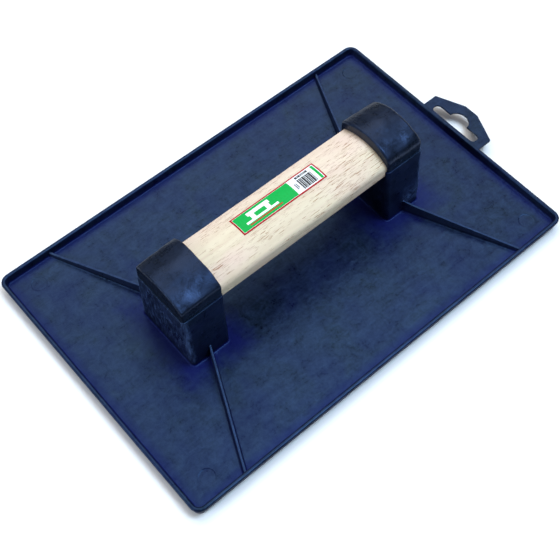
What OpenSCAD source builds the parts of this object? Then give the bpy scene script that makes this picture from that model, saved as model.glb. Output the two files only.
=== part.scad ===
// Rectangular hand float for plaster and mortar.
// One moulding makes the tray-shaped sole, its raised rim, four bracing ribs, two hollow
// posts and a hang tab. A wooden grip lies on beds inside the posts, a screw from below
// holds each end of it, and a crowned cap covers each end.
// X runs along the sole and ends at the hang tab, Y runs across it and Z is up.
// The origin is the middle of the flat working face.

/* [Sole] */
// Length of the sole along X, without the hang tab
sole_l = 270; // [250:1:300]
// Width of the sole along Y
sole_w = 180; // [160:1:200]
// Thickness of the sole's floor
floor_t = 2.8; // [2:0.1:4]
// Radius of the sole's corners in plan
corner_r = 6; // [5.5:0.5:10]
// Diameter of the ejector marks on the floor
ejector_d = 9.5; // [6:0.5:14]

/* [Rim] */
// Height of the rim above the working face
rim_h = 8; // [6.5:0.5:12]
// Width of the rim along its top
rim_w = 2.6; // [2.2:0.1:3]
// How far the outer wall leans out between its foot and its top
rim_flare = 1.5; // [0.5:0.1:2]
// Radius of the fillet between the rim and the floor
rim_fillet = 1.0; // [0.5:0.1:1.8]

/* [Ribs] */
// Thickness of each rib
rib_t = 1.8; // [1.2:0.1:2.5]
// Height of a rib where it leaves the post
rib_post_h = 10.8; // [8:0.2:16]
// Height of a rib where it meets the rim
rib_rim_h = 5.4; // [4:0.2:6]
// Distance from the sole's middle to the rib's end, along X
rib_end_x = 102; // [90:1:112]

/* [Posts] */
// Distance from the sole's middle to the inner foot of a post
post_in = 58.8; // [57:0.2:61]
// Distance from the sole's middle to the outer foot of a post
post_out = 84.2; // [82.4:0.2:86]
// Width of a post at its foot, along Y
post_foot_w = 45.6; // [42:0.2:50]
// Width of a post at its ledge, along Y
post_top_w = 40.2; // [39.6:0.2:42]
// Height of the ledge that the cap sits on
ledge_z = 46.5; // [45:0.5:50]
// Wall of a post
post_wall = 2.4; // [2:0.1:3]

/* [Grip] */
// Height of the grip's underside above the working face
grip_z = 40.5; // [39:0.5:42]
// Height of the grip's crown above the working face
grip_top = 55.4; // [54:0.2:57]
// Width of the grip across Y
grip_w = 35.6; // [34:0.2:36]
// Length of the grip, with the ends that the caps cover
grip_l = 156; // [154:1:157]
// Radius of the grip's crown
grip_crown_r = 34; // [26:1:40]

/* [Caps] */
// Width of a cap across Y
cap_w = 38.6; // [38:0.2:39]
// Height of the cap's crown at the end that faces the grip
cap_in_top = 62; // [61:0.2:64]
// Height of the cap's crown at its outer end
cap_out_top = 60; // [59:0.2:62]
// Radius of the cap's crown
cap_crown_r = 32; // [30:1:44]
// Wall of a cap
cap_wall = 2.2; // [1.8:0.1:2.4]

/* [Hang tab] */
// Reach of the tab past the sole's end
tab_reach = 17.6; // [15:0.2:22]
// Width of the tab where it joins the rim
tab_w = 46.8; // [42:0.2:52]
// Thickness of the tab
tab_t = 1.4; // [1:0.1:2]
// Length of the slot along Y
slot_l = 35.2; // [30:0.2:37]
// Depth of the slot away from the rim
slot_d = 6.2; // [5:0.1:7]
// Radius of the round notch in the middle of the slot
notch_r = 6.8; // [5:0.1:7]

/* [Label] */
// Length of the label along the grip
label_l = 57.6; // [40:0.2:70]
// Width of the label across the grip
label_w = 12.8; // [8:0.2:16]
// Distance of the label's middle from the grip's middle, across the grip
label_y = 2.8; // [-3:0.1:3]

/* [Hidden] */
$fn = 64;

// A small overlap that fuses two shapes of one piece
lap = 0.6;
// How far a cutting shape stands out of the face it opens
cut = 1;
// Gap between pieces that slide together
gap = 0.2;
// Bevel of the sole's lower edge, and rounding of the rim's two top edges
foot_bevel = 0.8;
rim_round = 0.9;
// Draft of the rim's inner wall, from its top to its foot
rim_draft = 0.4;
// Depth of the ejector marks, and how far their middles stand from the sole's sides
ejector_depth = 0.3;
ejector_in = 14.5;

// Post: lean of its two end faces, corner radii, and height and spread of its foot fillet
post_lean_in = 1.0;
post_lean_out = 0.6;
post_foot_r = 2.4;
post_top_r = 2.5;
foot_fillet = 1.6;
post_mid = (post_in + post_out)/2;
post_skin = 0.1;

// How far a rib's end runs into the wall of its post
rib_root = 1.2;

// Screw, its boss and the bore below it
boss_r = 6;
counterbore_r = 4.5;
seat_z = 34.5;
screw_r = 2;
screw_hole_r = 2.3;
screw_l = 18;
point_l = 4;
head_r = 4;
head_h = 2.6;
recess_arm = 4.4;
recess_w = 0.9;
recess_depth = 1.4;
web_t = 2;

// Inside of a post, open at its top, a little roomier than the wall at its two end faces
well_ease_in = 0.4;
well_ease_out = 0.2;
well_in = post_in + post_wall - well_ease_in;
well_out = post_out - post_wall - well_ease_out;
well_w = grip_w + 2*gap;

// Grip section
grip_shoulder_r = 3.6;
grip_foot_r = 3;

// Cap: width of the ledge left bare round it, ends, edge radii, collar round the grip,
// and tongue behind the grip's end
ledge_w = 0.8;
cap_in = post_in - post_lean_in + ledge_w;
cap_out = post_out + post_lean_out - ledge_w;
cap_shoulder_r = 3.6;
cap_foot_r = 0.3;
cap_corner_r = 2;
collar_t = 2.6;
bridge_t = 2;
tongue_t = 2;
tongue_w = 20;
tongue_drop = 9;
tongue_end = 1;

// Hang tab: straight side, width of its nose, slot's inner side and corner radius, corner rounding
tab_side = 9.6;
tab_nose_w = 10;
slot_in = 0.3;
slot_r = 2.6;
tab_round = 0.8;
tab_drop = 0.1;

// Label thickness and its place along the grip
label_t = 0.16;
label_x = -1.3;

// Points of an arc in n steps, from step i0 to step i1
function arc(c, r, a0, a1, n, i0, i1) =
    [for (i = [i0:i1]) let (a = a0 + (a1 - a0)*i/n) c + r*[cos(a), sin(a)]];

// Section with a crowned top: width w, underside z0, crown z1, radii of crown, shoulder and foot
function crowned(w, z0, z1, rc, rs, rf) =
    let (cz = z1 - rc, sy = w/2 - rs, sz = cz + sqrt(pow(rc - rs, 2) - sy*sy),
         a = atan2(sz - cz, sy), fy = w/2 - rf, fz = z0 + rf)
    concat(arc([0, cz], rc, a, 180 - a, 24, 0, 24),
           arc([-sy, sz], rs, 180 - a, 180, 6, 1, 6),
           arc([-fy, fz], rf, 180, 270, 6, 0, 6),
           arc([fy, fz], rf, 270, 360, 6, 0, 6),
           arc([sy, sz], rs, 0, a, 6, 0, 5));

function grip_section(grow = 0) =
    crowned(grip_w + 2*grow, grip_z - grow, grip_top + grow,
            grip_crown_r + grow, grip_shoulder_r + grow, grip_foot_r);

function cap_section(z0, top, shrink = 0) =
    crowned(cap_w - 2*shrink, z0, top - shrink,
            cap_crown_r - shrink, cap_shoulder_r - shrink/2, cap_foot_r);

// Section of the rim with the strip of floor next to it, out from a corner's centre
function rim_section() =
    let (top_in = corner_r - rim_w, foot_in = top_in - rim_draft, zr = rim_h - rim_round)
    concat([[0, 0], [corner_r - rim_flare - foot_bevel, 0], [corner_r - rim_flare, foot_bevel]],
           arc([corner_r - rim_round, zr], rim_round, 0, 90, 4, 0, 4),
           arc([top_in + rim_round, zr], rim_round, 90, 180, 4, 0, 4),
           arc([foot_in - rim_fillet, floor_t + rim_fillet], rim_fillet, 0, -90, 5, 0, 5),
           [[0, floor_t]]);

// Stretches a section given in Y and Z along X
module along_x(x0, x1, section) {
    translate([x0, 0, 0]) rotate([90, 0, 90]) linear_extrude(x1 - x0) polygon(section);
}

// A flat slab from x0 to x1 and w wide, with round corners
module round_slab(x0, x1, w, r, h) {
    for (x = [x0 + r, x1 - r], y = [r - w/2, w/2 - r])
        translate([x, y, 0]) cylinder(h = h, r = r, $fn = 32);
}

module on_both_ends() {
    for (s = [1, -1]) mirror([s < 0 ? 1 : 0, 0, 0]) children();
}

module rim_run(length) {
    rotate([90, 0, 0]) linear_extrude(length, center = true) polygon(rim_section());
}

module rim_corner() {
    rotate_extrude(angle = 90) polygon(rim_section());
}

module tray() {
    hx = sole_l/2 - corner_r;
    hy = sole_w/2 - corner_r;
    translate([-hx, -hy, 0]) cube([2*hx, 2*hy, floor_t]);
    for (turn = [0, 180]) rotate(turn) {
        translate([hx, 0, 0]) rim_run(2*hy);
        translate([0, hy, 0]) rotate(90) rim_run(2*hx);
        translate([hx, hy, 0]) rim_corner();
        translate([-hx, hy, 0]) rotate(90) rim_corner();
    }
}

module ejector_marks() {
    for (x = [-1, 1], y = [-1, 1])
        translate([x*(sole_l/2 - ejector_in), y*(sole_w/2 - ejector_in), floor_t - ejector_depth])
            cylinder(h = cut, d = ejector_d);
}

// One rib, from the wall of a post out to the rim
module rib() {
    start = [post_mid, post_foot_w/2 - rib_root];
    end = [rib_end_x, sole_w/2 - rim_w];
    run = end - start;
    translate([start.x, start.y, 0]) rotate(atan2(run.y, run.x))
        rotate([90, 0, 0]) linear_extrude(rib_t, center = true)
            polygon([[0, floor_t/2], [norm(run), floor_t/2], [norm(run), rib_rim_h], [0, rib_post_h]]);
}

module ribs() {
    for (sx = [-1, 1], sy = [-1, 1]) mirror([sx < 0 ? 1 : 0, 0, 0]) mirror([0, sy < 0 ? 1 : 0, 0]) rib();
}

// Outside of the post on the +X end, with the fillet round its foot
module post_outside() {
    hull() {
        translate([0, 0, floor_t - lap]) round_slab(post_in, post_out, post_foot_w, post_foot_r, lap);
        translate([0, 0, ledge_z - post_skin])
            round_slab(post_in - post_lean_in, post_out + post_lean_out, post_top_w, post_top_r, post_skin);
    }
    hull() {
        translate([0, 0, floor_t - lap])
            round_slab(post_in - foot_fillet, post_out + foot_fillet, post_foot_w + 2*foot_fillet,
                       post_foot_r + foot_fillet, lap);
        translate([0, 0, floor_t])
            round_slab(post_in, post_out, post_foot_w, post_foot_r, foot_fillet);
    }
}

// Space inside the post, and the notch in its inner face that the grip lies in
module post_well() {
    translate([well_in, -well_w/2, floor_t]) cube([well_out - well_in, well_w, ledge_z]);
    translate([post_in - post_wall, -well_w/2, grip_z]) cube([post_mid - post_in, well_w, ledge_z]);
}

// Boss for the screw and the webs that the grip rests on
module grip_bed() {
    translate([post_mid, 0, floor_t - lap]) cylinder(h = grip_z - floor_t + lap, r = boss_r);
    translate([well_in - lap, -web_t/2, floor_t - lap])
        cube([well_out - well_in + 2*lap, web_t, grip_z - floor_t + lap]);
    translate([post_mid - web_t/2, -well_w/2 - lap, floor_t - lap])
        cube([web_t, well_w + 2*lap, grip_z - floor_t + lap]);
}

module screw_bore() {
    translate([post_mid, 0, -cut]) cylinder(h = seat_z + cut, r = counterbore_r);
    translate([post_mid, 0, 0]) cylinder(h = grip_z + cut, r = screw_hole_r);
}

module tab_outline() {
    half = tab_w/2;
    nose = tab_nose_w/2;
    offset(r = tab_round, $fn = 32) offset(delta = -tab_round)
        polygon([[-rim_w, half], [tab_side, half], [tab_reach, nose], [tab_reach, -nose],
                 [tab_side, -half], [-rim_w, -half]]);
}

module tab_slot() {
    translate([slot_in + slot_r, slot_r - slot_l/2]) offset(r = slot_r)
        square([slot_d - slot_in - 2*slot_r, slot_l - 2*slot_r]);
    translate([slot_d, 0]) intersection() {
        circle(r = notch_r);
        translate([-lap, -notch_r]) square([notch_r + lap, 2*notch_r]);
    }
}

module hang_tab() {
    translate([sole_l/2, 0, rim_h - tab_drop - tab_t]) linear_extrude(tab_t) difference() {
        tab_outline();
        tab_slot();
    }
}

module float_body() {
    color("#26304a") difference() {
        union() {
            difference() {
                union() {
                    tray();
                    on_both_ends() post_outside();
                    ribs();
                    hang_tab();
                }
                on_both_ends() post_well();
                ejector_marks();
            }
            on_both_ends() grip_bed();
        }
        on_both_ends() screw_bore();
    }
}

// Wooden grip with a pilot hole for each screw
module handle_grip() {
    color("#efe0c0") difference() {
        along_x(-grip_l/2, grip_l/2, grip_section());
        on_both_ends() translate([post_mid, 0, grip_z - cut])
            cylinder(h = seat_z + screw_l - grip_z + cut, r = screw_r);
    }
}

// Outside of a cap, lower at its outer end, with round upright corners
module cap_outside() {
    intersection() {
        hull() {
            along_x(cap_in, cap_in + post_skin, cap_section(ledge_z, cap_in_top));
            along_x(cap_out - post_skin, cap_out, cap_section(ledge_z, cap_out_top));
        }
        hull() translate([0, 0, ledge_z - cut])
            round_slab(cap_in, cap_out, cap_w, cap_corner_r, cap_in_top);
    }
}

// Space inside a cap, between its collar and its end wall
module cap_hollow() {
    difference() {
        along_x(cap_in + collar_t, cap_out - cap_wall, cap_section(ledge_z - cut, cap_out_top, cap_wall));
        translate([post_mid - bridge_t/2, -cap_w/2, ledge_z]) cube([bridge_t, cap_w, cap_in_top]);
    }
}

// Tongue that stands in the post, behind the end of the grip
module cap_tongue() {
    translate([well_out - gap/2 - tongue_t, -tongue_w/2, ledge_z - tongue_drop])
        cube([tongue_t, tongue_w, tongue_drop + grip_top - ledge_z]);
    translate([well_out - gap/2 - tongue_t, -tongue_w/2, ledge_z])
        cube([cap_out - tongue_end - well_out + gap/2 + tongue_t, tongue_w, grip_top - ledge_z]);
}

module end_cap() {
    difference() {
        union() {
            difference() {
                cap_outside();
                cap_hollow();
            }
            cap_tongue();
        }
        along_x(cap_in - cut, grip_l/2 + gap, grip_section(gap));
    }
}

module left_end_cap() {
    color("#2b3650") mirror([1, 0, 0]) end_cap();
}

module right_end_cap() {
    color("#2b3650") end_cap();
}

// Pan-head screw standing head down, with a cross recess
module screw() {
    translate([post_mid, 0, seat_z]) {
        difference() {
            translate([0, 0, -head_h]) cylinder(h = head_h, r = head_r);
            for (turn = [0, 90]) rotate(turn) translate([-recess_arm/2, -recess_w/2, -head_h - cut])
                cube([recess_arm, recess_w, recess_depth + cut]);
        }
        cylinder(h = screw_l - point_l, r = screw_r);
        translate([0, 0, screw_l - point_l]) cylinder(h = point_l, r1 = screw_r, r2 = screw_r/4);
    }
}

module left_handle_screw() {
    color("silver") mirror([1, 0, 0]) screw();
}

module right_handle_screw() {
    color("silver") screw();
}

// Thin label that follows the crown of the grip
module handle_label() {
    color("#12a04a") translate([label_x - label_l/2, 0, 0]) intersection() {
        translate([0, 0, grip_top - grip_crown_r]) rotate([90, 0, 90]) linear_extrude(label_l) difference() {
            circle(r = grip_crown_r + label_t, $fn = 256);
            circle(r = grip_crown_r, $fn = 256);
        }
        translate([0, label_y - label_w/2, grip_z]) cube([label_l, label_w, grip_top]);
    }
}

float_body();
handle_grip();
left_end_cap();
right_end_cap();
left_handle_screw();
right_handle_screw();
handle_label();
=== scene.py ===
"""Looks of a rimmed plastic hand float with a wooden grip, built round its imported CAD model."""

import math
import random

import bmesh
import bpy
from mathutils import Matrix, Vector, noise


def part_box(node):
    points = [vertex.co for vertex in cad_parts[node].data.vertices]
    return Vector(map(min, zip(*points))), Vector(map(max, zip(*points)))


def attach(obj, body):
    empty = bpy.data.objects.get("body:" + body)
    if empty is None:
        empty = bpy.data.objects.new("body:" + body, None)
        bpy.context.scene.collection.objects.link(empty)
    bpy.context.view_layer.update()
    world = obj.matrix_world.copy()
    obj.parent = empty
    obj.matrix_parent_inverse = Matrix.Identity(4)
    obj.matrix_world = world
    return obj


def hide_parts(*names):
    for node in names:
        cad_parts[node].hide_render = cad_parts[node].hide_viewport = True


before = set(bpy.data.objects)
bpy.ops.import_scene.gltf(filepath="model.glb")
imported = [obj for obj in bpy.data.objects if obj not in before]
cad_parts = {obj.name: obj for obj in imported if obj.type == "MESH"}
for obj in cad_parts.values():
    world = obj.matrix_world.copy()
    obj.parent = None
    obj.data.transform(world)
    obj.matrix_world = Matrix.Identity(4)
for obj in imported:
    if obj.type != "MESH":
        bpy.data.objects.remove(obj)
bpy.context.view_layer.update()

MM = 0.001
BODY = "root"


def box_mm(node):
    """Lowest and highest corner of a CAD node, in millimetres."""
    low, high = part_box(node)
    return low / MM, high / MM


# ---------------------------------------------------------------- sizes, in millimetres
body_low, body_high = box_mm("float_body")
grip_low, grip_high = box_mm("handle_grip")
cap_low, cap_high = box_mm("right_end_cap")
label_low, label_high = box_mm("handle_label")
screw_low, screw_high = box_mm("right_handle_screw")

SOLE_X = -body_low.x
SOLE_Y = body_high.y
FLOOR_Z = 2.8
RIM_Z = 8.0
RIM_W = 2.6
RIM_FLARE = 1.5
RIM_ROUND = 1.1
RIM_DRAFT = 0.4
RIM_FILLET = 0.9
FOOT_BEVEL = 0.8
CORNER_R = 6.0
LEDGE_Z = body_high.z

POST_IN, POST_OUT = 58.8, 84.2
POST_MID = (POST_IN + POST_OUT) / 2
POST_LEAN_IN, POST_LEAN_OUT = 1.0, 0.6
POST_FOOT_Y, POST_TOP_Y = 22.8, 20.1
POST_FOOT_R, POST_TOP_R = 2.4, 2.5
POST_FILLET = 1.0
POST_EDGE_R = 0.25
WELL_IN, WELL_OUT, WELL_Y = 60.8, 81.6, 18.0
NOTCH_IN, NOTCH_OUT, CUT_TOP = 50, 66, 70

GRIP_Z, GRIP_TOP = grip_low.z, grip_high.z
GRIP_Y = grip_high.y
GRIP_END = grip_high.x
GRIP_CROWN_R = 34.0
GRIP_SHOULDER_R, GRIP_FOOT_R = 3.6, 3.0

RIB_HALF, RIB_DRAFT, RIB_FILLET = 0.62, 0.28, 1.0
RIB_POST_H, RIB_RIM_H = 10.8, 5.4
RIB_END_X = 102.0
RIB_ROOT = 1.2

TAB_TOP = RIM_Z - 0.1
TAB_T = 1.4
TAB_HALF, TAB_SIDE, TAB_NOSE, TAB_ROOT = 23.4, 9.6, 5.0, 1.3
TAB_CORNER_R, TAB_NOSE_R, TAB_BEVEL = 0.8, 1.2, 0.22
SLOT_IN, SLOT_OUT, SLOT_HALF, SLOT_R = 0.3, 6.2, 17.6, 2.6
SLOT_NOTCH_Y, SLOT_NOTCH_X = 6.8, 5.6

SOLE_SPANS = (10, 30, 60, 89.4)      # distances in from the edge of the rings across the sole
MARK_IN_RIGHT, MARK_IN_LEFT = 14.5, 17.5
BOSS_R, WEB_HALF = 6.0, 1.0
COUNTERBORE_R, CLEARANCE_R, PILOT_R = 4.5, 2.3, 2.0
SCREW_HEAD_H = 2.6

CAP_WALL, CAP_COLLAR, CAP_LIFT = 2.2, 2.6, 0.5
CAP_CROWN_IN = 32.0
HOLLOW_CROWN_R, HOLLOW_SHOULDER_R, HOLLOW_FOOT_R = 33, 2.2, 0.3
TONGUE_HALF, TONGUE_T = 10, 2

LABEL_GAP, LABEL_T = 0.13, 0.1
LABEL_BORDER, LABEL_LINE = 0.85, 0.12

OVER = 1.0      # how far a cutter or a joined piece reaches past a face
LAP = 0.6
WELD = 0.002    # points closer than this are merged
SHARP_ANGLE, CAP_SHARP_ANGLE, GRIP_SHARP_ANGLE = 38, 34, 40

CAMERA_PLACE, CAMERA_AIM = (-207.94, -244.23, 508.79), (-12.61, -10.54, 0)
CAMERA_ROLL, CAMERA_LENS = -1.065, 67.29
GROUND_HALF = 4000
WORLD_STRENGTH = 0.9

# pale worn blue for the rubbed posts; a lighter navy painted on the ribs as highlight and light
RUBBED_BLUE, RIB_PAINTED_LIGHT = (0.07, 0.12, 0.27), (0.015, 0.026, 0.070)


# ---------------------------------------------------------------- mesh helpers
def add_object(name, points, faces):
    """A mesh object from points in millimetres."""
    mesh = bpy.data.meshes.new(name)
    mesh.from_pydata([Vector(p) * MM for p in points], [], faces)
    mesh.validate()
    obj = bpy.data.objects.new(name, mesh)
    bpy.context.scene.collection.objects.link(obj)
    return obj


def fix_normals(obj):
    bm = bmesh.new()
    bm.from_mesh(obj.data)
    bmesh.ops.recalc_face_normals(bm, faces=bm.faces)
    bm.to_mesh(obj.data)
    bm.free()


def lofted(name, rings):
    """A closed solid through rings that all have the same number of points."""
    count = len(rings[0])
    points = [p for ring in rings for p in ring]
    faces = [tuple(range(count))[::-1], tuple(range(len(points) - count, len(points)))]
    for r in range(len(rings) - 1):
        a, b = r * count, (r + 1) * count
        faces += [(a + k, a + (k + 1) % count, b + (k + 1) % count, b + k) for k in range(count)]
    obj = add_object(name, points, faces)
    fix_normals(obj)
    return obj


def rect_ring(x0, x1, y0, y1, r, z, arc_n=6, nx=1, ny=1):
    """Round-cornered rectangle at height z, with nx and ny spans along its sides."""
    corners = ((x1 - r, y1 - r, 0, nx), (x0 + r, y1 - r, 90, ny),
               (x0 + r, y0 + r, 180, nx), (x1 - r, y0 + r, 270, ny))
    arcs = []
    for cx, cy, start, spans in corners:
        angles = [math.radians(start + 90 * k / arc_n) for k in range(arc_n + 1)]
        arcs.append(([Vector((cx + r * math.cos(a), cy + r * math.sin(a), z)) for a in angles], spans))
    ring = []
    for i, (arc, spans) in enumerate(arcs):
        ring += arc
        following = arcs[(i + 1) % 4][0][0]
        ring += [arc[-1].lerp(following, k / spans) for k in range(1, spans)]
    return ring


def block(name, x0, x1, y0, y1, z0, z1, r=0.3):
    return lofted(name, [rect_ring(x0, x1, y0, y1, r, z, 2) for z in (z0, z1)])


def drum(name, x, y, r, z0, z1, n=48):
    circle = [(x + r * math.cos(math.tau * k / n), y + r * math.sin(math.tau * k / n)) for k in range(n)]
    return lofted(name, [[(cx, cy, z) for cx, cy in circle] for z in (z0, z1)])


def arc_points(cy, cz, r, start, end, n, skip_first=False):
    return [(cy + r * math.cos(a), cz + r * math.sin(a))
            for a in (math.radians(start + (end - start) * k / n) for k in range(int(skip_first), n + 1))]


def crowned_ring(x, half, z0, top, crown_r, shoulder_r, foot_r, side_n=4):
    """Section across Y at x: flat underside at z0, upright sides, arched top."""
    cz = top - crown_r
    sy = half - shoulder_r
    sz = cz + math.sqrt((crown_r - shoulder_r) ** 2 - sy * sy)
    lean = math.degrees(math.atan2(sz - cz, sy))
    fy, fz = half - foot_r, z0 + foot_r
    right = arc_points(fy, fz, foot_r, 270, 360, 6)
    right += [(half, fz + (sz - fz) * k / side_n) for k in range(1, side_n)]
    right += arc_points(sy, sz, shoulder_r, 0, lean, 8)
    crown = arc_points(0, cz, crown_r, lean, 180 - lean, 28, True)[:-1]
    left = [(-y, z) for y, z in reversed(right)]
    return [Vector((x, y, z)) for y, z in right + crown + left]


def join(parts, name):
    """One object from separate parts that don't touch."""
    bm = bmesh.new()
    for part in parts:
        bm.from_mesh(part.data)
        bpy.data.objects.remove(part)
    mesh = bpy.data.meshes.new(name)
    bm.to_mesh(mesh)
    bm.free()
    obj = bpy.data.objects.new(name, mesh)
    bpy.context.scene.collection.objects.link(obj)
    return obj


def apply_modifiers(obj):
    bpy.context.view_layer.update()
    evaluated = obj.evaluated_get(bpy.context.evaluated_depsgraph_get())
    mesh = bpy.data.meshes.new_from_object(evaluated)
    obj.modifiers.clear()
    obj.data = mesh


def combine(obj, tool, operation):
    """Adds the tool to obj with UNION, or cuts it away with DIFFERENCE."""
    modifier = obj.modifiers.new("combine", "BOOLEAN")
    modifier.operation = operation
    modifier.solver = "EXACT"
    modifier.object = tool
    apply_modifiers(obj)
    bpy.data.objects.remove(tool)


def mirrored(obj, x=1, y=1):
    """A copy of obj mirrored across X or Y where the sign is -1."""
    mesh = obj.data.copy()
    mesh.transform(Matrix.Diagonal((x, y, 1, 1)))
    if x * y < 0:
        mesh.flip_normals()
    copy = bpy.data.objects.new(obj.name + "_copy", mesh)
    bpy.context.scene.collection.objects.link(copy)
    return copy


def on_both_ends(obj):
    return join([mirrored(obj, -1), obj], obj.name)


def clamped(value):
    """value, held between 0 and 1."""
    return min(max(value, 0), 1)


def roughen(obj, amount, size, keep):
    """Moves points along their normals by a smooth noise of amount mm; keep(p) scales it."""
    bm = bmesh.new()
    bm.from_mesh(obj.data)
    bm.normal_update()
    moves = []
    for v in bm.verts:
        p = v.co / MM
        moves.append(v.normal * noise.noise(p / size) * amount * keep(p) * MM)
    for v, move in zip(bm.verts, moves):
        v.co += move
    bm.to_mesh(obj.data)
    bm.free()


def finish_surface(obj, angle=SHARP_ANGLE):
    """Smooth shading with sharp edges over an angle, and normals led by the large faces."""
    limit = math.radians(angle)
    bm = bmesh.new()
    bm.from_mesh(obj.data)
    bmesh.ops.remove_doubles(bm, verts=bm.verts, dist=WELD * MM)
    bmesh.ops.dissolve_degenerate(bm, edges=bm.edges, dist=WELD * MM)
    for face in bm.faces:
        face.smooth = True
    for edge in bm.edges:
        edge.smooth = len(edge.link_faces) == 2 and edge.calc_face_angle(0) < limit
    bm.to_mesh(obj.data)
    bm.free()
    modifier = obj.modifiers.new("weighted", "WEIGHTED_NORMAL")
    modifier.keep_sharp = True


# ---------------------------------------------------------------- sole, posts, ribs and tab
def tray():
    """Sole and rim: one section carried round the edge, from the middle of the underside to the floor."""
    def arc(cd, cz, r, start, end, n=5):
        return [(cd - r * math.cos(a), cz + r * math.sin(a))
                for a in (math.radians(start + (end - start) * k / n) for k in range(n + 1))]

    inner = RIM_W + RIM_DRAFT
    section = [(span, 0) for span in reversed(SOLE_SPANS)] + [(RIM_FLARE + FOOT_BEVEL + LAP, 0)]
    section += arc(RIM_FLARE + FOOT_BEVEL, FOOT_BEVEL, FOOT_BEVEL, -90, -15)
    section += [(RIM_FLARE * 0.55, RIM_Z * 0.45)]
    section += arc(RIM_ROUND, RIM_Z - RIM_ROUND, RIM_ROUND, 5, 90)
    section += arc(RIM_W - RIM_ROUND, RIM_Z - RIM_ROUND, RIM_ROUND, 90, 175)
    section += [(inner - 0.15, FLOOR_Z + RIM_FILLET + 1.2)]
    section += arc(inner + RIM_FILLET, FLOOR_Z + RIM_FILLET, RIM_FILLET, 0, -90)
    section += [(inner + RIM_FILLET + 0.8, FLOOR_Z)] + [(span, FLOOR_Z) for span in SOLE_SPANS]
    rings = []
    for inset, z in section:
        r = max(CORNER_R - inset, 0.3)
        x, y = SOLE_X - inset, SOLE_Y - inset
        rings.append(rect_ring(-x, x, -y, y, r, z, 8, 30, 20))
    return lofted("tray", rings)


def post_ring(z, spread=0.0):
    """Outline of a post at height z, standing out by spread."""
    t = min(max((z - FLOOR_Z) / (LEDGE_Z - FLOOR_Z), 0), 1)
    half = POST_FOOT_Y + (POST_TOP_Y - POST_FOOT_Y) * t + spread
    r = POST_FOOT_R + (POST_TOP_R - POST_FOOT_R) * t + spread
    x0, x1 = POST_IN - POST_LEAN_IN * t - spread, POST_OUT + POST_LEAN_OUT * t + spread
    return rect_ring(x0, x1, -half, half, max(r, 0.4), z, 6, 8, 14)


def post():
    """Outside of one post, with a fillet at its foot and a soft edge round its ledge."""
    rings = [post_ring(FLOOR_Z - 1.2, POST_FILLET)]
    for k in range(6):
        rise = POST_FILLET * k / 5
        out = POST_FILLET - math.sqrt(POST_FILLET ** 2 - (POST_FILLET - rise) ** 2)
        rings.append(post_ring(FLOOR_Z + rise, out))
    z0, z1, steps = FLOOR_Z + POST_FILLET, LEDGE_Z - POST_EDGE_R, 18
    rings += [post_ring(z0 + (z1 - z0) * k / steps) for k in range(1, steps + 1)]
    for k in range(1, 4):
        a = math.radians(30 * k)
        rings.append(post_ring(z1 + POST_EDGE_R * math.sin(a), -POST_EDGE_R * (1 - math.cos(a))))
    obj = lofted("post", rings)
    roughen(obj, 0.45, 13, lambda p: clamped((p.z - 6) / 6) * clamped((LEDGE_Z - 0.8 - p.z) / 4))
    return obj


def rib():
    """One rib in the +X, +Y quarter: flat narrow top, drafted sides and a fillet at its foot.
    Its top rises a little where it meets the post and the rim."""
    start = Vector((POST_MID, POST_FOOT_Y - RIB_ROOT, 0))
    end = Vector((RIB_END_X, SOLE_Y - RIM_W, 0))
    side = Vector((end.y - start.y, start.x - end.x, 0)).normalized()
    half, foot, fillet, stations = RIB_HALF, RIB_HALF + RIB_DRAFT, RIB_FILLET, 30
    rings = []
    for k in range(stations + 1):
        t = k / stations
        top = RIB_POST_H + (RIB_RIM_H - RIB_POST_H) * t
        top += 1.3 * math.exp(-t * 22) + 0.4 * math.exp(-(1 - t) * 40)
        outline = [(foot + fillet, FLOOR_Z - OVER)]
        outline += [(foot + fillet * (1 - math.sin(a)), FLOOR_Z + fillet * (1 - math.cos(a)))
                    for a in (math.radians(15 * i) for i in range(7))]
        outline += [(half + 0.05, top - 0.4), (half - 0.03, top - 0.12), (half - 0.16, top - 0.02)]
        outline += [(-w, z) for w, z in reversed(outline)]
        wobble = 0.15 * noise.noise(Vector((t * 5, 1.7, 0)))
        middle = start.lerp(end, t) + side * wobble
        rings.append([middle + side * w + Vector((0, 0, z)) for w, z in outline])
    return lofted("rib", rings)


def rounded_path(corners, n=6):
    """Path through (x, y, r) corners, each one rounded with radius r."""
    path = []
    for i, (x, y, r) in enumerate(corners):
        p = Vector((x, y))
        if r == 0:
            path.append(p)
            continue
        before = (Vector(corners[i - 1][:2]) - p).normalized()
        after = (Vector(corners[(i + 1) % len(corners)][:2]) - p).normalized()
        half = before.angle(after) / 2
        reach = r / math.tan(half)
        centre = p + (before + after).normalized() * (r / math.sin(half))
        first, last = p + before * reach - centre, p + after * reach - centre
        turn = first.angle_signed(last)
        path += [centre + Matrix.Rotation(-turn * k / n, 2) @ first for k in range(n + 1)]
    return path


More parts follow.
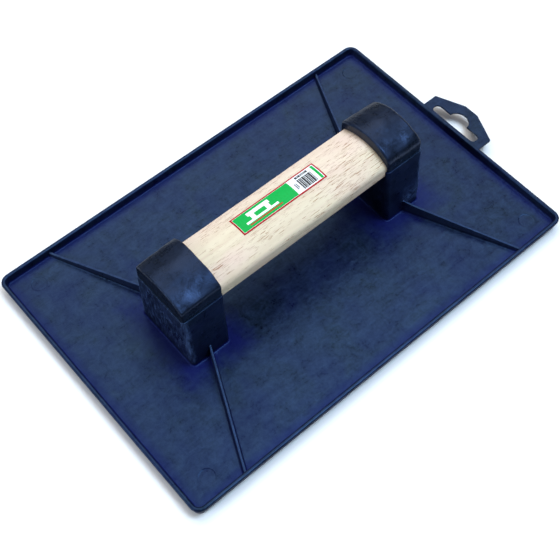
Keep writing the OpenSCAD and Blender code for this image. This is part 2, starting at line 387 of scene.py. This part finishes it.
def hang_tab():
    """Flat tab with a round-ended slot and a round notch in the slot's far side."""
    reach = body_high.x - SOLE_X
    outer = rounded_path([(-TAB_ROOT, TAB_HALF, 0), (TAB_SIDE, TAB_HALF, TAB_CORNER_R),
                          (reach, TAB_NOSE, TAB_NOSE_R), (reach, -TAB_NOSE, TAB_NOSE_R),
                          (TAB_SIDE, -TAB_HALF, TAB_CORNER_R), (-TAB_ROOT, -TAB_HALF, 0)])
    low, high = TAB_TOP - TAB_T, TAB_TOP
    tab = lofted("tab", [[(SOLE_X + p.x, p.y, z) for p in outer] for z in (low, high)])
    notch = [(SLOT_OUT + SLOT_NOTCH_X * math.cos(a), SLOT_NOTCH_Y * math.sin(a), 0)
             for a in (math.radians(-90 + 10 * k) for k in range(19))]
    inner = rounded_path([(SLOT_IN, -SLOT_HALF, SLOT_R), (SLOT_OUT, -SLOT_HALF, SLOT_R)] + notch
                         + [(SLOT_OUT, SLOT_HALF, SLOT_R), (SLOT_IN, SLOT_HALF, SLOT_R)])
    hole = lofted("hole", [[(SOLE_X + p.x, p.y, z) for p in inner] for z in (low - OVER, high + OVER)])
    combine(tab, hole, "DIFFERENCE")
    bevel = tab.modifiers.new("bevel", "BEVEL")
    bevel.width, bevel.segments = TAB_BEVEL * MM, 2
    bevel.limit_method, bevel.angle_limit = "ANGLE", math.radians(60)
    apply_modifiers(tab)
    return tab


def grip_bed():
    """Boss and crossed webs inside one post, which the grip rests on."""
    low, thin = FLOOR_Z - OVER, 0.1
    bed = drum("boss", POST_MID, 0, BOSS_R, low, GRIP_Z)
    along = block("web", WELL_IN - LAP, WELL_OUT + LAP, -WEB_HALF, WEB_HALF, low, GRIP_Z, thin)
    combine(bed, along, "UNION")
    across = block("web", POST_MID - WEB_HALF, POST_MID + WEB_HALF, -WELL_Y - LAP, WELL_Y + LAP,
                   low, GRIP_Z, thin)
    combine(bed, across, "UNION")
    return bed


def ejector_mark(x, y, tilt):
    """Shallow round mark, a little deeper on one side."""
    rings = []
    for r, drop in ((4.0, 0.2), (4.4, 0.17), (4.75, 0.05), (4.9, -OVER)):
        uneven = 0.6 if drop > 0 else 0.0
        rings.append([(x + r * math.cos(a), y + r * math.sin(a),
                       FLOOR_Z - drop * (1 + uneven * math.cos(a - tilt)))
                      for a in (math.tau * k / 48 for k in range(48))])
    return lofted("mark", rings)


def float_moulding():
    """Sole, posts, ribs and hang tab as one solid, hollowed and drilled from the parts above."""
    body = tray()
    combine(body, on_both_ends(post()), "UNION")
    well = block("well", WELL_IN, WELL_OUT, -WELL_Y, WELL_Y, FLOOR_Z, CUT_TOP, 1.0)
    combine(body, on_both_ends(well), "DIFFERENCE")
    notch = block("notch", NOTCH_IN, NOTCH_OUT, -WELL_Y, WELL_Y, GRIP_Z, CUT_TOP, 0.5)
    combine(body, on_both_ends(notch), "DIFFERENCE")
    one_rib = rib()
    ribs = [mirrored(one_rib, -1, -1), mirrored(one_rib, -1, 1), mirrored(one_rib, 1, -1), one_rib]
    combine(body, join(ribs, "ribs"), "UNION")
    combine(body, hang_tab(), "UNION")
    combine(body, on_both_ends(grip_bed()), "UNION")
    counterbore = drum("counterbore", POST_MID, 0, COUNTERBORE_R, -5, screw_low.z + SCREW_HEAD_H)
    combine(body, on_both_ends(counterbore), "DIFFERENCE")
    combine(body, on_both_ends(drum("clearance", POST_MID, 0, CLEARANCE_R, 20, 60)), "DIFFERENCE")
    marks = [ejector_mark(x, j * (SOLE_Y - MARK_IN_RIGHT), 2.2 + j)
             for x in (MARK_IN_LEFT - SOLE_X, SOLE_X - MARK_IN_RIGHT) for j in (-1, 1)]
    combine(body, join(marks, "marks"), "DIFFERENCE")
    body.name = "float_moulding"
    finish_surface(body)
    return body


# ---------------------------------------------------------------- caps, grip and label
def end_cap(name, side, shoulder, outer_top, crown_out, edge_in, edge_out):
    """Crowned cap. side is 1 on the hang tab's end and -1 on the other. Its top runs from the CAD's height
    at the grip to outer_top, and its two ends are rounded with edge_in and edge_out."""
    x0, x1 = cap_low.x, cap_high.x
    half, inner_top, crown_in = cap_high.y, cap_high.z, CAP_CROWN_IN
    stations = [(x0 + edge_in * (1 - math.cos(a)), edge_in * (1 - math.sin(a)))
                for a in (math.radians(22.5 * k) for k in range(5))]
    middle = 9
    stations += [(x0 + edge_in + (x1 - edge_out - x0 - edge_in) * k / middle, 0) for k in range(1, middle)]
    stations += [(x1 - edge_out + edge_out * math.sin(a), edge_out * (1 - math.cos(a)))
                 for a in (math.radians(15 * k) for k in range(7))]
    rings = []
    for x, inset in stations:
        t = (x - x0) / (x1 - x0)
        top = inner_top + (outer_top - inner_top) * t - inset
        crown = crown_in + (crown_out - crown_in) * t
        rings.append(crowned_ring(x, half - inset, LEDGE_Z, top, crown, shoulder, 0.35, 6))
    cap = lofted(name, rings)
    for amount, size in ((0.55, 11), (0.22, 4)):
        roughen(cap, amount, size, lambda p: clamped((p.z - LEDGE_Z - 1) / 5))

    rounding = (HOLLOW_CROWN_R, HOLLOW_SHOULDER_R, HOLLOW_FOOT_R)
    inside, ceiling = half - CAP_WALL, outer_top - CAP_WALL
    hollow = lofted("hollow", [crowned_ring(x, inside, LEDGE_Z - 3, ceiling - CAP_LIFT, *rounding)
                               for x in (x0 + CAP_COLLAR, x1 - CAP_WALL)])
    combine(cap, hollow, "DIFFERENCE")
    bridge = lofted("bridge", [crowned_ring(x, inside + 0.4, LEDGE_Z + 0.2, ceiling, *rounding)
                               for x in (POST_MID - WEB_HALF, POST_MID + WEB_HALF)])
    combine(cap, bridge, "UNION")
    back = WELL_OUT - 0.1
    front = back - TONGUE_T
    for end, low, high in ((x1 - OVER, LEDGE_Z + 0.1, GRIP_TOP - OVER), (back, LEDGE_Z - 9, LEDGE_Z + 2)):
        combine(cap, block("tongue", front, end, -TONGUE_HALF, TONGUE_HALF, low, high), "UNION")
    gaps = ((x0 - OVER, 0.7), (x0 + 0.02, 0.62), (x0 + 0.25, 0.38), (x0 + 0.7, 0.26), (GRIP_END + 0.2, 0.24))
    mouth = [crowned_ring(x, GRIP_Y + gap, GRIP_Z - gap, GRIP_TOP + gap,
                          GRIP_CROWN_R + gap, GRIP_SHOULDER_R + gap, GRIP_FOOT_R + gap)
             for x, gap in gaps]
    combine(cap, lofted("mouth", mouth), "DIFFERENCE")
    if side < 0:
        flipped = mirrored(cap, -1)
        bpy.data.objects.remove(cap)
        cap = flipped
    cap.name = name
    finish_surface(cap, CAP_SHARP_ANGLE)
    return cap


def grip():
    """Wooden grip with eased ends and a very slightly uneven surface."""
    ends = ((GRIP_END, 0.6), (GRIP_END - 0.2, 0.25), (GRIP_END - 0.6, 0))
    spans = 60
    inner = GRIP_END - 0.6
    stations = [(-x, inset) for x, inset in ends]
    stations += [(-inner + 2 * inner * k / spans, 0) for k in range(1, spans)]
    stations += [(x, inset) for x, inset in reversed(ends)]
    rings = [crowned_ring(x, GRIP_Y - i, GRIP_Z + i, GRIP_TOP - i,
                          GRIP_CROWN_R, GRIP_SHOULDER_R, GRIP_FOOT_R) for x, i in stations]
    obj = lofted("wooden_grip", rings)
    roughen(obj, 0.12, 16, lambda p: clamped((GRIP_END - 3 - abs(p.x)) / 6) * (p.z > GRIP_Z + 4))
    pilot = drum("pilot", POST_MID, 0, PILOT_R, GRIP_Z - 2, screw_high.z + 0.2)
    combine(obj, on_both_ends(pilot), "DIFFERENCE")
    finish_surface(obj, GRIP_SHARP_ANGLE)
    return obj


LABEL_RED, LABEL_WHITE, LABEL_GREEN, LABEL_INK, LABEL_GREY = range(5)


def label_layout(length, width):
    """Rectangles (x0, x1, y0, y1, colour) printed on the label, later ones on top.
    x runs from its left end and y from its near edge."""
    border, inset = LABEL_BORDER, LABEL_BORDER + LABEL_LINE
    field = length * 0.668
    prints = [(0, length, 0, width, LABEL_RED),
              (border, length - border, border, width - border, LABEL_WHITE),
              (inset, field, inset, width - inset, LABEL_GREEN),
              (length - 2.9, length - 1.3, inset, width - inset - 0.3, LABEL_GREEN)]
    # a plain side view of a float: sole, two posts and a grip, with a red line below it
    x0, x1, foot = 5.4, 27.0, 3.7
    deck, ledge, top = foot + 1.4, foot + 4.2, foot + 6.6
    prints += [(x0 + 1, x1 + 1.6, foot - 1.3, foot - 0.6, LABEL_RED),
               (x0, x1, foot, deck, LABEL_WHITE),
               (x0 + 4.4, x0 + 7.2, deck, ledge, LABEL_WHITE),
               (x1 - 7.2, x1 - 4.4, deck, ledge, LABEL_WHITE),
               (x0 + 3.4, x1 - 3.4, ledge, top, LABEL_WHITE)]
    # stripes of uneven width, and plain blocks in place of small print
    rng = random.Random(11)
    x, bars_end = length * 0.75, length * 0.915
    while x < bars_end:
        thick = rng.choice((0.6, 0.9, 1.3))
        prints.append((x, min(x + thick, bars_end), 1.5, width * 0.70, LABEL_INK))
        x += thick + rng.choice((0.2, 0.3))
    x = length * 0.755
    while x < length * 0.9:
        step = rng.choice((0.7, 1.0, 1.5))
        prints.append((x, x + step - 0.2, width * 0.76, width * 0.88, LABEL_INK))
        x += step
    prints += [(length * 0.70, length * 0.712, 3.4, 7.6, LABEL_GREY),
               (length * 0.719, length * 0.729, 4.0, 7.6, LABEL_GREY)]
    return prints


def label():
    """Thin printed label on the crown of the grip: one mesh, split along the edges of what is printed."""
    length, width = label_high.x - label_low.x, label_high.y - label_low.y
    prints = label_layout(length, width)

    def cuts(values, size, step):
        marks = sorted({round(v, 4) for v in values} | {0.0, round(size, 4)})
        full = []
        for a, b in zip(marks, marks[1:]):
            n = max(1, math.ceil((b - a) / step))
            full += [a + (b - a) * k / n for k in range(n)]
        return full + [marks[-1]]

    xs = cuts([v for p in prints for v in p[:2]], length, 2.0)
    ys = cuts([v for p in prints for v in p[2:4]], width, 0.8)
    centre_z = GRIP_TOP - GRIP_CROWN_R
    points, faces, colours = [], [], []
    for x in xs:
        for y in ys:
            across = label_low.y + y
            edge = min(x, length - x, y, width - y)
            lift = 0.05 * math.exp(-edge / 0.7) + 0.03 * noise.noise(Vector((x / 7, y / 5, 3)))
            r = GRIP_CROWN_R + LABEL_GAP + lift
            points.append((label_low.x + x, across, centre_z + math.sqrt(r * r - across * across)))
    for i in range(len(xs) - 1):
        for j in range(len(ys) - 1):
            a = i * len(ys) + j
            faces.append((a, a + len(ys), a + len(ys) + 1, a + 1))
            mx, my = (xs[i] + xs[i + 1]) / 2, (ys[j] + ys[j + 1]) / 2
            colours.append([p[4] for p in prints if p[0] < mx < p[1] and p[2] < my < p[3]][-1])
    obj = add_object("printed_label", points, faces)
    for polygon, colour in zip(obj.data.polygons, colours):
        polygon.material_index = colour
        polygon.use_smooth = True
    thick = obj.modifiers.new("thickness", "SOLIDIFY")
    thick.thickness, thick.offset = LABEL_T * MM, 0.0
    return obj


# ---------------------------------------------------------------- materials
class Nodes:
    """Short calls for building one material's nodes."""

    def __init__(self, name):
        self.material = bpy.data.materials.new(name)
        self.material.use_nodes = True
        self.tree = self.material.node_tree
        self.shader = self.tree.nodes["Principled BSDF"]

    def add(self, kind, **values):
        node = self.tree.nodes.new("ShaderNode" + kind)
        for key, value in values.items():
            setattr(node, key, value)
        return node

    def link(self, source, target):
        self.tree.links.new(source, target)

    def coordinates(self, scale=(1, 1, 1), turn=0.0):
        """Object coordinates in millimetres, stretched and turned about Z."""
        mapping = self.add("Mapping")
        mapping.inputs["Rotation"].default_value = (0, 0, turn)
        mapping.inputs["Scale"].default_value = [s / MM for s in scale]
        self.link(self.add("TexCoord").outputs["Object"], mapping.inputs["Vector"])
        return mapping.outputs["Vector"]

    def noise(self, vector, scale, detail=4.0, roughness=0.55, distortion=0.0):
        node = self.add("TexNoise")
        node.inputs["Scale"].default_value = scale
        node.inputs["Detail"].default_value = detail
        node.inputs["Roughness"].default_value = roughness
        node.inputs["Distortion"].default_value = distortion
        self.link(vector, node.inputs["Vector"])
        return node.outputs["Fac"]

    def ramp(self, factor, low, high, start=0.0, end=1.0):
        """Maps factor from low..high onto start..end, held at both ends."""
        node = self.add("MapRange")
        node.inputs["From Min"].default_value = low
        node.inputs["From Max"].default_value = high
        node.inputs["To Min"].default_value = start
        node.inputs["To Max"].default_value = end
        self.link(factor, node.inputs["Value"])
        return node.outputs["Result"]

    def math(self, operation, a, b):
        node = self.add("Math", operation=operation)
        for value, socket in ((a, node.inputs[0]), (b, node.inputs[1])):
            if isinstance(value, (int, float)):
                socket.default_value = value
            else:
                self.link(value, socket)
        return node.outputs["Value"]

    def mix(self, factor, a, b):
        """Blends two colours; each is a tuple or another node's colour."""
        node = self.add("Mix", data_type="RGBA")
        self.link(factor, node.inputs["Factor"])
        for value, socket in ((a, node.inputs["A"]), (b, node.inputs["B"])):
            if isinstance(value, tuple):
                socket.default_value = (*value, 1)
            else:
                self.link(value, socket)
        return node.outputs["Result"]

    def dulled_edge(self, start, low):
        """A factor for the gloss: 1 where the surface is seen square on, down to low at a grazing angle."""
        facing = self.add("LayerWeight")
        facing.inputs["Blend"].default_value = 0.5
        return self.ramp(facing.outputs["Facing"], start, 0.8, 1.0, low)

    def bump(self, height, distance, strength=1.0, below=None):
        node = self.add("Bump")
        node.inputs["Distance"].default_value = distance * MM
        node.inputs["Strength"].default_value = strength
        self.link(height, node.inputs["Height"])
        if below is not None:
            self.link(below, node.inputs["Normal"])
        return node.outputs["Normal"]

    def finish(self, colour, roughness, normal, **sockets):
        self.link(colour, self.shader.inputs["Base Color"])
        self.link(roughness, self.shader.inputs["Roughness"])
        self.link(normal, self.shader.inputs["Normal"])
        for key, value in sockets.items():
            socket = self.shader.inputs[key.replace("_", " ")]
            if isinstance(value, bpy.types.NodeSocket):
                self.link(value, socket)
            else:
                socket.default_value = value
        return self.material


def painted_shade_by_walls(n, place):
    """1 on the floor at the foot of the rim and of the posts, fading to 0 some millimetres out: where shade
    is painted on the floor.
    """
    x, y = (n.math("ABSOLUTE", place.outputs[i], 0.0) for i in (0, 1))
    ragged = n.math("MULTIPLY", n.noise(n.coordinates(), 0.22, 4), 4.0)
    rim = n.math("MAXIMUM", n.math("SUBTRACT", x, SOLE_X), n.math("SUBTRACT", y, SOLE_Y))
    beside_rim = n.ramp(n.math("ADD", rim, ragged), -7.5, -0.5)
    off_middle = n.math("ABSOLUTE", n.math("SUBTRACT", x, POST_MID), 0.0)
    across = n.math("SUBTRACT", off_middle, POST_OUT - POST_MID)
    post_edge = n.math("MAXIMUM", across, n.math("SUBTRACT", y, POST_FOOT_Y))
    beside_post = n.ramp(n.math("SUBTRACT", post_edge, n.math("MULTIPLY", ragged, 3.0)), -3.0, 9.0, 1.0, 0.0)
    low = n.ramp(place.outputs[2], FLOOR_Z + 0.5, FLOOR_Z + 1.8, 1.0, 0.0)
    return n.math("MULTIPLY", n.math("MAXIMUM", beside_rim, beside_post), low)


def painted_rib_light(n, place):
    """About 1 on the ribs' tops and sides, broken by noise: where a lighter colour is painted on as
    highlight and light.
    """
    x, y = (n.math("ABSOLUTE", place.outputs[i], 0.0) for i in (0, 1))
    between = n.math("MULTIPLY", n.ramp(y, POST_FOOT_Y + 0.8, POST_FOOT_Y + 1.6),
                     n.ramp(y, SOLE_Y - RIM_W - 1.6, SOLE_Y - RIM_W - 0.8, 1.0, 0.0))
    between = n.math("MULTIPLY", between, n.ramp(x, RIB_END_X + 4, RIB_END_X + 5, 1.0, 0.0))
    raised = n.ramp(place.outputs[2], FLOOR_Z + 0.8, FLOOR_Z + 2.2)
    broken = n.ramp(n.noise(n.coordinates(), 0.5, 5, 0.65), 0.35, 0.6, 0.35, 1.0)
    return n.math("MULTIPLY", n.math("MULTIPLY", between, raised), broken)


def rubbed_post_edges(n, place):
    """Broken scratches down the outer corners and end faces of the posts, and a pale smudge low on the
    right post."""
    x, y = (n.math("ABSOLUTE", place.outputs[i], 0.0) for i in (0, 1))
    end = n.ramp(x, POST_OUT - 2.5, POST_OUT, 0.0, 0.75)
    corner = n.math("MULTIPLY", n.ramp(y, POST_TOP_Y - 3.0, POST_TOP_Y + 1.0),
                    n.ramp(x, POST_OUT - 3.5, POST_OUT - 1.0))
    on_post = n.math("MULTIPLY", n.ramp(y, POST_FOOT_Y + 0.2, POST_FOOT_Y + 0.8, 1.0, 0.0),
                     n.ramp(place.outputs[2], FLOOR_Z + 2, FLOOR_Z + 6))
    on_post = n.math("MULTIPLY", on_post, n.ramp(x, POST_OUT + 3, POST_OUT + 4, 1.0, 0.0))
    down = n.noise(n.coordinates((0.9, 0.9, 0.13)), 1.0, 7, 0.72, 0.6)
    broken = n.ramp(n.math("ADD", down, n.math("MULTIPLY", corner, 0.1)), 0.5, 0.66)
    smudge = n.math("MULTIPLY", n.ramp(n.noise(n.coordinates(), 0.2, 6, 0.7, 1.0), 0.44, 0.6),
                    n.math("MULTIPLY", n.ramp(place.outputs[0], POST_MID - 4, POST_MID + 4),
                           n.ramp(place.outputs[2], 14.0, 26.0, 1.0, 0.0)))
    rubbed = n.math("MAXIMUM", n.math("MULTIPLY", broken, n.math("MAXIMUM", end, corner)), smudge)
    return n.math("MULTIPLY", rubbed, on_post)


def moulded_plastic(name, dark, mid, pale, gloss, tint, level, uneven, wall_shade_colour=None):
    """Moulded plastic: cloudy tone, flow streaks, scuffs and a fine orange peel. Given a colour for the
    shade by the walls, the floor is painted that deeper, duller colour as shade at the foot of the rim and
    the posts, with its reflection cut there as painted shade; the posts are rubbed pale in places; and the
    ribs are painted a little lighter as highlight and light."""
    n = Nodes(name)
    flat = n.coordinates()
    clouds = n.ramp(n.noise(flat, 0.035, 6, 0.6, 0.8), 0.36, 0.66)
    mottle = n.noise(flat, 0.16, 6, 0.65, 0.5)
    grime = n.noise(flat, 0.6, 5, 0.65)
    streaks = n.noise(n.coordinates((0.035, 0.5, 0.12), 0.12), 1.0, 5, 0.6)
    scuffs = n.ramp(n.noise(n.coordinates((0.07, 0.8, 0.5), -0.35), 1.0, 7, 0.7, 0.5), 0.58, 0.74)
    specks = n.ramp(n.noise(flat, 1.1, 2, 0.5), 0.7, 0.76)
    patch = n.math("ADD", n.math("MULTIPLY", mottle, 0.5), n.math("ADD", n.math("MULTIPLY", streaks, 0.2),
                   n.math("MULTIPLY", grime, 0.3)))
    patch = n.ramp(patch, 0.4, 0.6)
    tone = n.mix(clouds, dark, mid)
    tone = n.mix(n.math("MULTIPLY", patch, 0.6), tone, pale)
    tone = n.mix(n.math("MULTIPLY", scuffs, 0.3), tone, pale)
    tone = n.mix(n.math("MULTIPLY", specks, 0.4), tone, pale)
    rough = n.math("ADD", n.ramp(patch, 0, 1, gloss - 0.03, gloss + 0.09), n.math("MULTIPLY", scuffs, 0.05))
    sheen = n.math("MULTIPLY", n.ramp(patch, 0, 1, (1 - 0.28 * uneven) * level, (1 + 0.18 * uneven) * level),
                   n.ramp(clouds, 0, 1, 1 + 0.1 * uneven, 1 - 0.12 * uneven))
    sheen = n.math("ADD", sheen, n.math("MULTIPLY", n.math("MAXIMUM", scuffs, specks), 0.35 * level))
    if wall_shade_colour is not None:
        place = n.add("SeparateXYZ")
        n.link(flat, place.inputs[0])
        wall_shade_mask = painted_shade_by_walls(n, place)
        # painted shade: the floor at the foot of the rim and the posts gets a deeper, duller blue and half
        # its reflection
        tone = n.mix(n.math("MULTIPLY", wall_shade_mask, 0.9), tone, wall_shade_colour)
        sheen = n.math("MULTIPLY", sheen, n.ramp(wall_shade_mask, 0, 1, 1.0, 0.5))
        tone = n.mix(rubbed_post_edges(n, place), tone, RUBBED_BLUE)
        # painted highlight and light: the ribs' tops and sides are made lighter
        tone = n.mix(painted_rib_light(n, place), tone, RIB_PAINTED_LIGHT)
    sheen = n.math("MULTIPLY", sheen, n.dulled_edge(0.34, 0.04))
    normal = n.bump(n.noise(flat, 1.6, 3, 0.5), 0.03, 0.35)
    normal = n.bump(mottle, 0.45, 0.5, normal)
    normal = n.bump(streaks, 0.12, 0.4, normal)
    return n.finish(tone, rough, normal, Specular_IOR_Level=sheen, Specular_Tint=(*tint, 1))


def pale_wood(name):
    """Pale open-pored hardwood: soft figure, pinkish patches and short brown pores along the grain."""
    n = Nodes(name)
    turn = -0.10
    figure = n.noise(n.coordinates((0.012, 0.16, 0.16), turn), 1.0, 5, 0.6, 0.8)
    patches = n.noise(n.coordinates((0.02, 0.05, 0.05), turn), 1.0, 3, 0.5)
    fibre = n.noise(n.coordinates((0.12, 5.0, 5.0), turn), 1.0, 4, 0.6)
    zones = n.noise(n.coordinates((0.03, 0.1, 0.1), turn), 1.0, 3, 0.5)
    pores = []
    for length, thickness, sparse in ((0.10, 2.5, 0.652), (0.2, 3.9, 0.64)):
        grain = n.noise(n.coordinates((length, thickness, thickness), turn), 1.0, 2, 0.45, 0.25)
        threshold = n.ramp(zones, 0.35, 0.65, sparse + 0.06, sparse - 0.035)
        pores.append(n.ramp(n.math("SUBTRACT", grain, threshold), 0.0, 0.022))
    pore = n.math("MAXIMUM", pores[0], n.math("MULTIPLY", pores[1], 0.7))
    colour = n.mix(n.ramp(figure, 0.3, 0.7), (0.65, 0.53, 0.38), (0.79, 0.70, 0.53))
    place = n.add("SeparateXYZ")
    n.link(n.coordinates(), place.inputs[0])
    pink = n.math("MAXIMUM", n.ramp(patches, 0.46, 0.66, 0, 0.7),
                  n.ramp(place.outputs[1], 4.0, GRIP_Y, 0, 0.6))
    colour = n.mix(pink, colour, (0.74, 0.54, 0.47))
    colour = n.mix(n.ramp(fibre, 0.45, 0.75, 0, 0.3), colour, (0.70, 0.57, 0.41))
    lines = n.ramp(n.noise(n.coordinates((0.012, 1.3, 1.3), turn), 1.0, 3, 0.6), 0.6, 0.68, 0, 0.4)
    colour = n.mix(lines, colour, (0.72, 0.50, 0.42))
    colour = n.mix(n.math("MULTIPLY", pore, 0.95), colour, (0.33, 0.15, 0.07))
    rough = n.ramp(fibre, 0.3, 0.7, 0.5, 0.64)
    height = n.math("SUBTRACT", n.math("MULTIPLY", fibre, 0.3), pore)
    normal = n.bump(height, 0.06, 0.6)
    return n.finish(colour, rough, normal, Specular_IOR_Level=0.25)


def label_ink(name, colour, worn):
    """Printed film: flat ink with a faint mottle, tiny scratches and a soft gloss."""
    n = Nodes(name)
    flat = n.coordinates()
    mottle = n.noise(flat, 0.9, 5, 0.6)
    scratch = n.ramp(n.noise(n.coordinates((0.2, 4.0, 1.0), 0.5), 1.0, 5, 0.6), 0.66, 0.74, 0, 0.35)
    tone = n.mix(n.ramp(mottle, 0.35, 0.7, 0, 0.5), colour, worn)
    tone = n.mix(scratch, tone, worn)
    rough = n.ramp(mottle, 0.3, 0.7, 0.36, 0.5)
    return n.finish(tone, rough, n.bump(n.noise(flat, 2.5, 3), 0.01, 0.4), Specular_IOR_Level=0.12)


def plated_steel(name):
    """Zinc plate with dull stains and fine marks round the axis."""
    n = Nodes(name)
    flat = n.coordinates()
    stain = n.noise(flat, 0.5, 5, 0.6)
    turned = n.noise(n.coordinates((0.3, 0.3, 6.0)), 1.0, 3)
    tone = n.mix(n.ramp(stain, 0.4, 0.7), (0.66, 0.66, 0.62), (0.48, 0.46, 0.40))
    rough = n.ramp(stain, 0.3, 0.7, 0.22, 0.42)
    return n.finish(tone, rough, n.bump(turned, 0.04, 0.5), Metallic=1.0)


def pale_floor(name):
    """Pale matt paint for the ground."""
    n = Nodes(name)
    flat = n.coordinates()
    tone = n.mix(n.noise(flat, 0.004, 3), (0.86, 0.86, 0.86), (0.9, 0.9, 0.9))
    rough = n.ramp(n.noise(flat, 0.02, 3), 0.3, 0.7, 0.75, 0.85)
    return n.finish(tone, rough, n.bump(n.noise(flat, 0.6, 3), 0.02, 0.2), Specular_IOR_Level=0.1)


def give(obj, *materials):
    """Puts these materials in the object's slots, in place of any it has."""
    if obj.data.materials:
        obj.data.materials.clear()
    for material in materials:
        obj.data.materials.append(material)


# ---------------------------------------------------------------- camera, floor and light
def studio():
    """Camera at the photo's angle, pale ground, graded overhead light and three softboxes."""
    scene = bpy.context.scene
    scene.view_settings.view_transform = "Standard"

    lens = bpy.data.cameras.new("camera")
    lens.sensor_width, lens.lens = 36, CAMERA_LENS
    lens.clip_start, lens.clip_end = 0.05, 20
    camera = bpy.data.objects.new("camera", lens)
    place, aim = Vector(CAMERA_PLACE) * MM, Vector(CAMERA_AIM) * MM
    roll = Matrix.Rotation(math.radians(CAMERA_ROLL), 4, "Z")
    look = (aim - place).to_track_quat("-Z", "Y").to_matrix().to_4x4()
    camera.matrix_world = Matrix.Translation(place) @ look @ roll
    scene.collection.objects.link(camera)
    scene.camera = camera

    side = GROUND_HALF
    ground = add_object("ground", [(-side, -side, 0), (side, -side, 0), (side, side, 0), (-side, side, 0)],
                        [(0, 1, 2, 3)])
    give(ground, pale_floor("floor_paint"))

    # bright overhead, leaning to the far side, and dark towards the horizon
    world = bpy.data.worlds.new("studio")
    world.use_nodes = True
    scene.world = world
    tree = world.node_tree
    towards = tree.nodes.new("ShaderNodeVectorMath")
    towards.operation = "DOT_PRODUCT"
    towards.inputs[1].default_value = Vector((0.1, 0.25, 1.0)).normalized()
    fade = tree.nodes.new("ShaderNodeMapRange")
    fade.interpolation_type = "SMOOTHSTEP"
    for key, value in (("From Min", 0.45), ("From Max", 0.95), ("To Min", 0.03), ("To Max", 1.0)):
        fade.inputs[key].default_value = value
    tree.links.new(tree.nodes.new("ShaderNodeTexCoord").outputs["Generated"], towards.inputs[0])
    tree.links.new(towards.outputs["Value"], fade.inputs["Value"])
    tree.links.new(fade.outputs["Result"], tree.nodes["Background"].inputs["Color"])
    tree.nodes["Background"].inputs["Strength"].default_value = WORLD_STRENGTH

    for name, size, power, colour, direction in (
            ("far_softbox", 2.6, 38, (1.0, 0.94, 0.88), (0.8, 1.35, 2.8)),
            ("near_softbox", 1.4, 64, (0.6, 0.8, 1.0), (0.87, -0.64, 2.6)),
            ("left_softbox", 1.2, 30, (0.8, 0.9, 1.0), (-2.4, 0.5, 1.3))):
        data = bpy.data.lights.new(name, "AREA")
        data.shape, data.size, data.energy, data.color = "DISK", size, power, colour
        lamp = bpy.data.objects.new(name, data)
        lamp.location = direction
        lamp.rotation_euler = (-Vector(direction)).to_track_quat("-Z", "Y").to_euler()
        scene.collection.objects.link(lamp)


# ---------------------------------------------------------------- the object
studio()

# the last colour is painted on as shade at the foot of the rim and the posts
body_plastic = moulded_plastic("navy_moulded_plastic", (0.002, 0.004, 0.008), (0.004, 0.006, 0.036),
                               (0.011, 0.018, 0.050), 0.30, (0.235, 0.49, 0.98), 0.40, 1.2,
                               (0.006, 0.008, 0.075))
cap_plastic = moulded_plastic("black_navy_cap_plastic", (0.003, 0.005, 0.009), (0.005, 0.008, 0.018),
                              (0.009, 0.014, 0.030), 0.27, (0.26, 0.43, 0.92), 0.41, 0.4)
wood = pale_wood("pale_pored_hardwood")
steel = plated_steel("zinc_plated_steel")
inks = [label_ink("label_red_ink", (0.42, 0.006, 0.012), (0.50, 0.02, 0.025)),
        label_ink("label_white_film", (0.86, 0.87, 0.87), (0.78, 0.79, 0.79)),
        label_ink("label_green_ink", (0.001, 0.36, 0.055), (0.004, 0.43, 0.09)),
        label_ink("label_black_ink", (0.03, 0.03, 0.035), (0.09, 0.09, 0.095)),
        label_ink("label_grey_ink", (0.12, 0.12, 0.13), (0.2, 0.2, 0.21))]

moulding = float_moulding()
give(moulding, body_plastic)
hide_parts("float_body")

left_cap = end_cap("left_crowned_cap", -1, 2.2, 59.2, 40, 0.6, 0.8)
right_cap = end_cap("right_crowned_cap", 1, 4.6, 60.0, 32, 1.3, 1.8)
for cap, node in ((left_cap, "left_end_cap"), (right_cap, "right_end_cap")):
    give(cap, cap_plastic)
    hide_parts(node)

wooden_grip = grip()
give(wooden_grip, wood)
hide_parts("handle_grip")

printed_label = label()
give(printed_label, *inks)
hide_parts("handle_label")

for piece in (moulding, left_cap, right_cap, wooden_grip, printed_label):
    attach(piece, BODY)

for node in ("left_handle_screw", "right_handle_screw"):
    give(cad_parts[node], steel)
